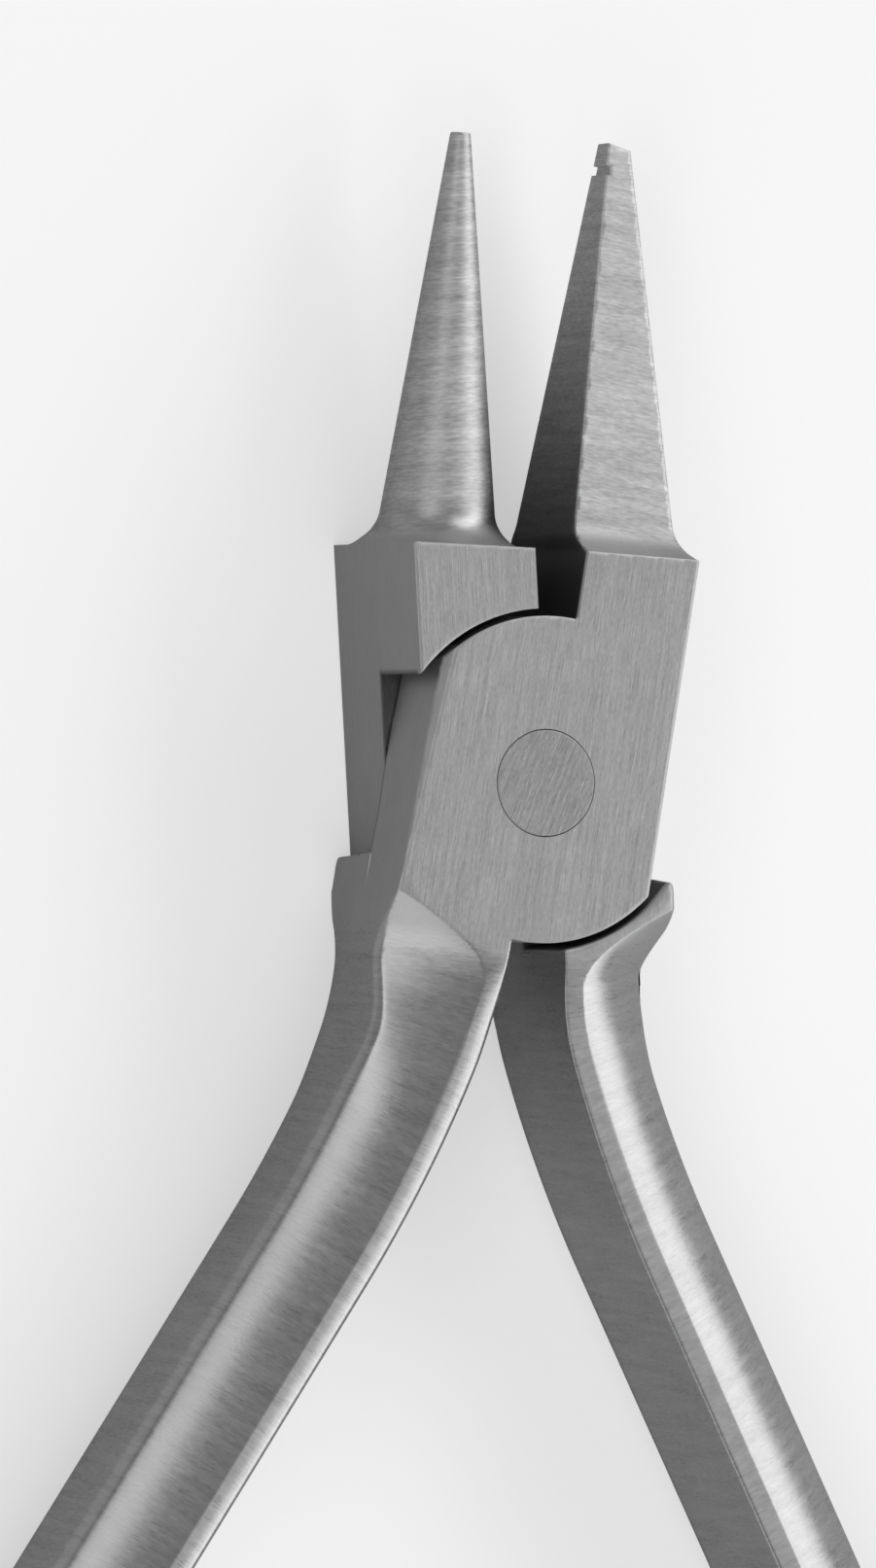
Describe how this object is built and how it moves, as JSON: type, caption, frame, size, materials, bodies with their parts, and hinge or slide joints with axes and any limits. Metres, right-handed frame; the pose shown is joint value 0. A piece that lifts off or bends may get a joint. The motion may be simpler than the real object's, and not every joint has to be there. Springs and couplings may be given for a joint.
{
  "type": "round nose pliers",
  "caption": "Steel wire-forming pliers with one round tapered beak, one square tapered beak, a riveted lap joint and long bowed handles.",
  "frame": {"origin": "on the pivot axis, in the plane of the joint's ground back faces, on which the pliers lie", "axes": "+Y runs from the handles to the tips along the line halfway between the two halves; +Z is the pivot axis, out of the front face; +X is to the right, on the square beak's side"},
  "size_m": [0.0838, 0.1309, 0.01],
  "materials": {
    "brushed_steel": "satin stainless steel, fine vertical grinding marks on the flat faces, smoother on the handles and beaks",
    "rivet_steel": "satin stainless steel ground flush with the joint, slightly darker"
  },
  "bodies": {
    "square_half": {"square_beak_half": "brushed_steel", "pivot_rivet": "rivet_steel"},
    "round_half": {"round_beak_half": "brushed_steel"}
  },
  "joints": [
    {"name": "jaw_pivot", "type": "hinge", "parent": "square_half", "child": "round_half", "pos_m": [0, 0, 0.005], "axis": [0, 0, 1], "range_deg": [-12.9, 57]}
  ]
}
